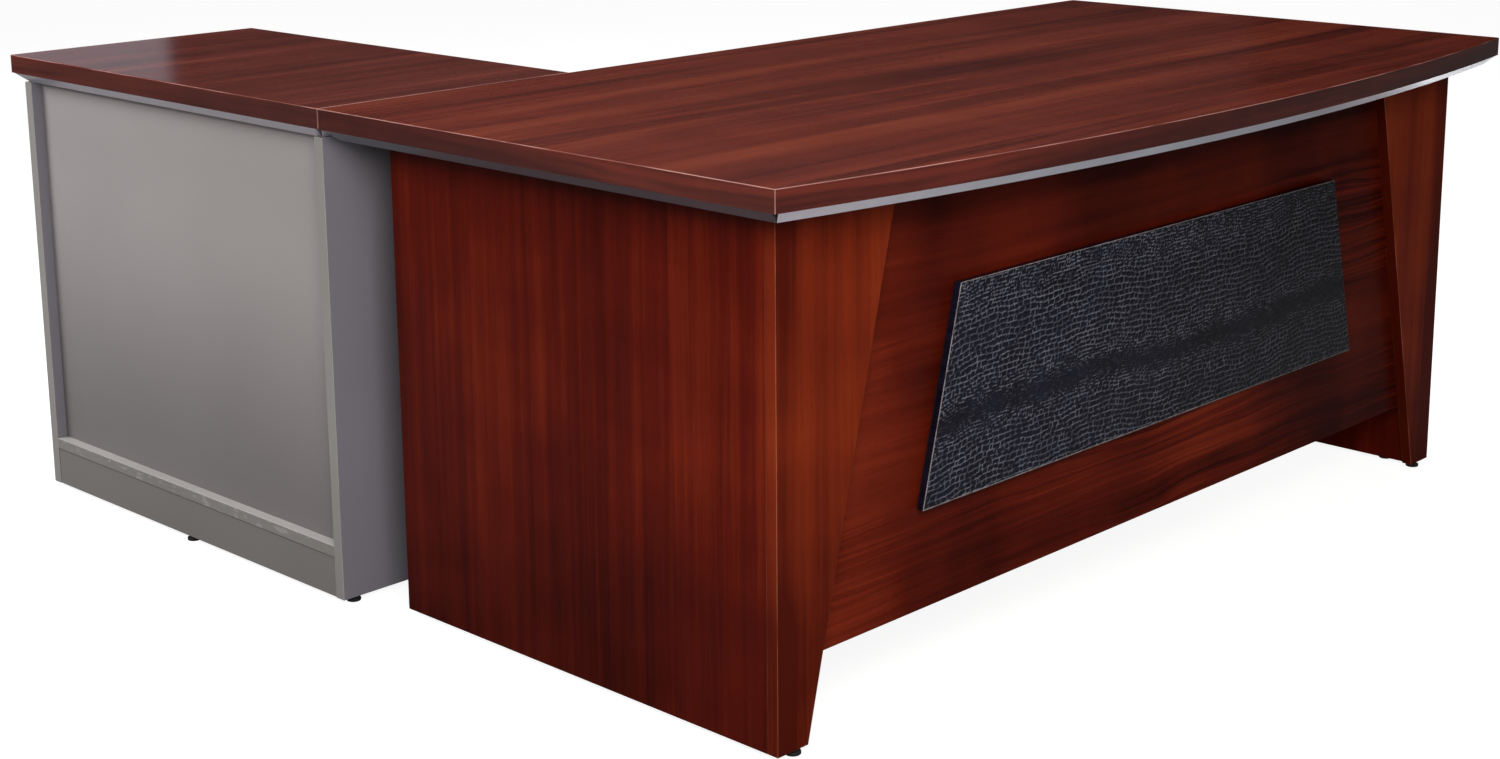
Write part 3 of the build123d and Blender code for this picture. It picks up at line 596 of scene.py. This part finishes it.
def make_leather():
    """The leather, pulled over the insert's board and folded back at its edges."""
    points_across, points_up = 500, 176
    points_on_arc, points_on_side = 5, 3
    arris_radius = 0.0016
    side = leather_high.y - leather_low.y - arris_radius
    arc = arris_radius * math.pi / 2
    # distances along the leather to the face's edge, for the strips that go round it
    around = np.concatenate([np.linspace(-(arc + side), -arc, points_on_side)[:-1],
                             np.linspace(-arc, 0.0, points_on_arc)[:-1]])

    def rulers(points):
        """Distances beyond the face, and shares of the way over it, from edge to edge."""
        beyond_face = np.concatenate([around, np.zeros(points), -around[::-1]])
        share = np.concatenate([np.zeros(len(around)), np.linspace(0.0, 1.0, points),
                                np.ones(len(around))])
        return beyond_face, share

    out_u, share_u = rulers(points_across)
    out_v, share_v = rulers(points_up)
    extra_u, extra_v = np.meshgrid(out_u, out_v)
    share_u, share_v = np.meshgrid(share_u, share_v)

    z = leather_low.z + arris_radius + share_v * (face_height - 2 * arris_radius)
    half = half_low + (half_high - half_low) * (z - leather_low.z) / face_height - arris_radius
    x = (2 * share_u - 1) * half

    beyond = np.maximum(np.abs(extra_u), np.abs(extra_v))
    turn = np.clip(beyond / arc, 0.0, 1.0) * math.pi / 2
    back = arris_radius * (1 - np.cos(turn)) + np.clip(beyond - arc, 0.0, None)
    out = arris_radius * np.sin(turn)
    length = np.maximum(np.hypot(extra_u, extra_v), 1e-9)
    direction_u = np.where(beyond > 0, extra_u / length, 0.0)
    direction_v = np.where(beyond > 0, extra_v / length, 0.0)

    depth, pale, luck = scale_relief(x + extra_u, z - leather_low.z + extra_v)
    relief_on_side = 0.25
    fade = np.clip(1.0 - beyond / arc, 0.0, 1.0)
    sink = depth * (relief_on_side + (1.0 - relief_on_side) * fade)
    point_x = x + direction_u * (out - sink * np.sin(turn))
    point_z = z + direction_v * (out - sink * np.sin(turn))
    point_y = leather_low.y + back + sink * np.cos(turn)

    rows, columns = point_x.shape
    numbers = np.arange(rows * columns).reshape(rows, columns)
    quads = np.stack([numbers[:-1, :-1], numbers[:-1, 1:], numbers[1:, 1:], numbers[1:, :-1]], -1)
    points = np.stack([point_x, point_y, point_z], -1).reshape(-1, 3)
    mesh = bpy.data.meshes.new("crocodile_leather")
    mesh.from_pydata(points.tolist(), [], quads.reshape(-1, 4).tolist())
    # along the lower edge the fold's painted highlight and rub wear reach onto the face
    lower_rim = (beyond <= 0.0) & (share_v <= 0.0)
    folded = np.where(lower_rim, 0.5, np.clip(beyond / arc, 0.0, 1.0))
    for name, values in (("pale", pale), ("luck", luck), ("edge", folded)):
        layer = mesh.attributes.new(name, "FLOAT", "POINT")
        layer.data.foreach_set("value", values.ravel().astype(np.float32))
    mesh.polygons.foreach_set("use_smooth", [True] * len(mesh.polygons))
    mesh.update()
    piece = bpy.data.objects.new("crocodile_leather", mesh)
    scene.collection.objects.link(piece)
    return piece


def leather_material():
    """Glossy black-blue leather, paler along its creases and its folds with a painted highlight
    along with rubbing, and darker to the right by painted shade.
    """
    shader = Shader("black_leather")
    pale = shader.attribute("pale")
    edge = shader.attribute("edge")
    cloud = shader.noise(shader.place, scale=11.0, detail=3.0)
    shade = shader.math("MULTIPLY_ADD", shader.attribute("luck"), 0.35, cloud)
    tint = shader.ramp(shade, [(0.35, (0.0016, 0.0018, 0.0056)), (0.95, (0.0070, 0.0075, 0.0190))])
    # pale crease lines: a painted highlight along with dust and rub wear in the creases
    patches = shader.noise(shader.place, scale=34.0, detail=2.0)
    highlight_and_wear_mask = shader.between(patches, 0.25, 0.7, 0.45, 1.0)
    on_face = shader.between(edge, 0.5, 0.1)
    highlight_and_wear_mask = shader.math("MULTIPLY", highlight_and_wear_mask, on_face)
    lines = shader.math("MULTIPLY", shader.between(pale, 0.25, 0.9), highlight_and_wear_mask)
    tint = shader.blend(lines, tint, (0.185, 0.192, 0.235, 1.0))
    # pale folds: a painted highlight along with rub wear
    fold_highlight_and_wear_patches = shader.noise(shader.place, scale=60.0, detail=3.0)
    edge_highlight_and_wear = shader.math("MULTIPLY", shader.between(edge, 0.1, 0.4), shader.between(edge, 0.95, 0.6))
    edge_highlight_and_wear = shader.math("MULTIPLY", edge_highlight_and_wear, shader.between(fold_highlight_and_wear_patches, 0.3, 0.6, 0.45, 1.0))
    tint = shader.blend(edge_highlight_and_wear, tint, (0.30, 0.27, 0.27, 1.0))
    # painted shade: the leather darker towards the right
    across = shader.split(shader.place)[0]
    painted_shade_to_right = shader.between(across, -0.3, 0.55, 1.0, 0.45)
    tint = shader.blend(1.0, tint, shader.join(painted_shade_to_right, painted_shade_to_right, painted_shade_to_right), "MULTIPLY")
    wrinkles = shader.cells(shader.place, 900.0)
    grain = shader.noise(shader.place, scale=1300.0, detail=2.0)
    height = shader.math("MULTIPLY_ADD", grain, 0.5, wrinkles)
    shader.set(
        Base_Color=tint,
        Roughness=shader.math("MULTIPLY_ADD", pale, 0.15, 0.26),
        Specular_IOR_Level=0.35,
        Normal=shader.bump(height, 0.0002, 0.25),
    )
    return shader.material


leather = make_leather()
leather.data.materials.append(leather_material())
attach(leather, "desk")
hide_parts("insert_leather")


# ---------------------------------------------------------------- stage, light and camera

def stage_floor():
    """A pale floor. What it throws back on the desk is dimmer, but for a painted pool of light on
    its part on the right.
    """
    mesh = bpy.data.meshes.new("studio_floor")
    reach = 14.0
    corners = [(-reach, -reach, 0), (reach, -reach, 0), (reach, reach, 0), (-reach, reach, 0)]
    mesh.from_pydata(corners, [], [(0, 1, 2, 3)])
    floor = bpy.data.objects.new("studio_floor", mesh)
    scene.collection.objects.link(floor)
    shader = Shader("studio_floor")
    ray = shader.tree.nodes.new("ShaderNodeLightPath")
    x, y, _ = shader.split(shader.place)
    cloud = shader.noise(shader.place, scale=0.6, detail=2.0)
    seen = shader.ramp(cloud, [(0.3, (0.26, 0.26, 0.26)), (0.7, (0.29, 0.29, 0.29))])
    # painted light: a pool of light on the floor's right part, in what it throws back
    painted_light_pool = shader.math("MULTIPLY", shader.between(x, 0.9, 2.0), shader.between(y, -1.0, -0.3))
    thrown_back = shader.blend(painted_light_pool, (0.20, 0.195, 0.195, 1.0), (0.8, 0.8, 0.8, 1.0))
    camera_ray = ray.outputs["Is Camera Ray"]
    shader.set(
        Base_Color=shader.blend(camera_ray, thrown_back, seen),
        Roughness=0.9,
        Specular_IOR_Level=0.1,
        Emission_Color=(1.0, 1.0, 1.0, 1.0),
        Emission_Strength=shader.math("MULTIPLY", camera_ray, 0.90),
    )
    mesh.materials.append(shader.material)


def area_light(name, place, target, size, power, colour=(1, 1, 1), role="soft"):
    """A card of light of a size in metres and a power in watts, at a place, facing a target.

    Its role is soft, for light without reflections, or gloss, for reflections alone.
    """
    data = bpy.data.lights.new(name, "AREA")
    data.shape = "RECTANGLE"
    data.size, data.size_y = size
    data.energy = power
    data.color = colour
    lamp = bpy.data.objects.new(name, data)
    scene.collection.objects.link(lamp)
    lamp.location = place
    aim = Vector(target) - Vector(place)
    lamp.rotation_euler = aim.to_track_quat("-Z", "Y").to_euler()
    lamp.visible_camera = False
    lamp.visible_glossy = role == "gloss"
    lamp.visible_diffuse = role == "soft"
    lamp.visible_transmission = False


def make_world():
    """White to the camera and an even pale room for soft light; the gloss cards do the rest."""
    world = bpy.data.worlds.new("studio")
    scene.world = world
    world.use_nodes = True
    tree = world.node_tree
    tree.nodes.clear()
    output = tree.nodes.new("ShaderNodeOutputWorld")
    both = tree.nodes.new("ShaderNodeMixShader")
    ray = tree.nodes.new("ShaderNodeLightPath")
    tree.links.new(ray.outputs["Is Camera Ray"], both.inputs[0])
    for socket, strength in ((both.inputs[1], 0.17), (both.inputs[2], 1.0)):
        room = tree.nodes.new("ShaderNodeBackground")
        room.inputs["Color"].default_value = (1.0, 0.985, 0.97, 1.0)
        room.inputs["Strength"].default_value = strength
        tree.links.new(room.outputs[0], socket)
    tree.links.new(both.outputs[0], output.inputs[0])
    world.cycles_visibility.glossy = False


def make_camera():
    """A 55 mm lens off the desk's near left corner, solved from the photo's straight edges."""
    data = bpy.data.cameras.new("camera")
    data.sensor_width = 36.0
    data.lens = 55.05
    data.shift_x = -0.0039
    data.shift_y = -0.0935
    data.clip_end = 100.0
    camera = bpy.data.objects.new("camera", data)
    scene.collection.objects.link(camera)
    place = (-2.8031, -2.6455, 1.2728)
    roughly_right = Vector((0.69280, -0.72109, -0.00760)).normalized()
    ahead = Vector((0.70332, 0.67798, -0.21372)).normalized()
    up = roughly_right.cross(ahead).normalized()
    right = ahead.cross(up).normalized()
    turn = Matrix((right, up, -ahead)).transposed()
    camera.matrix_world = Matrix.Translation(place) @ turn.to_4x4()
    scene.camera = camera


scene.view_settings.view_transform = "Standard"
stage_floor()
make_world()
make_camera()
area_light("left_softbox", (-2.3, 1.9, 2.0), (-0.8, 0.4, 0.6), (1.2, 0.9), 58.0)
area_light("front_softbox", (-2.1, -2.3, 1.7), (-0.4, -0.8, 0.4), (1.5, 1.1), 60.0,
           (1.0, 0.95, 0.90))
area_light("overhead", (0.0, 0.6, 4.4), (0.0, 0.0, 0.5), (4.0, 4.0), 200.0)
area_light("low_front", (-0.4, -3.6, 0.35), (-0.2, -0.9, 0.75), (2.6, 0.4), 12.0, (0.9, 0.95, 1.0))
area_light("gloss_sky", (0.0, 0.5, 5.0), (0.0, 0.5, 0.0), (9.0, 9.0), 180.0, role="gloss")
area_light("gloss_wall", (1.9, 6.5, 1.5), (-0.8, 0.8, 0.76), (1.6, 0.8), 1.3,
           (0.80, 0.88, 1.0), role="gloss")
area_light("gloss_low_right", (2.0, -0.3, 0.01), (2.0, -0.3, 1.0), (1.1, 0.8), 5.0, role="gloss")
area_light("gloss_far_wall", (6.5, 6.5, 2.0), (0.3, 0.0, 0.76), (6.0, 2.4), 0.5,
           (0.85, 0.95, 1.0), role="gloss")
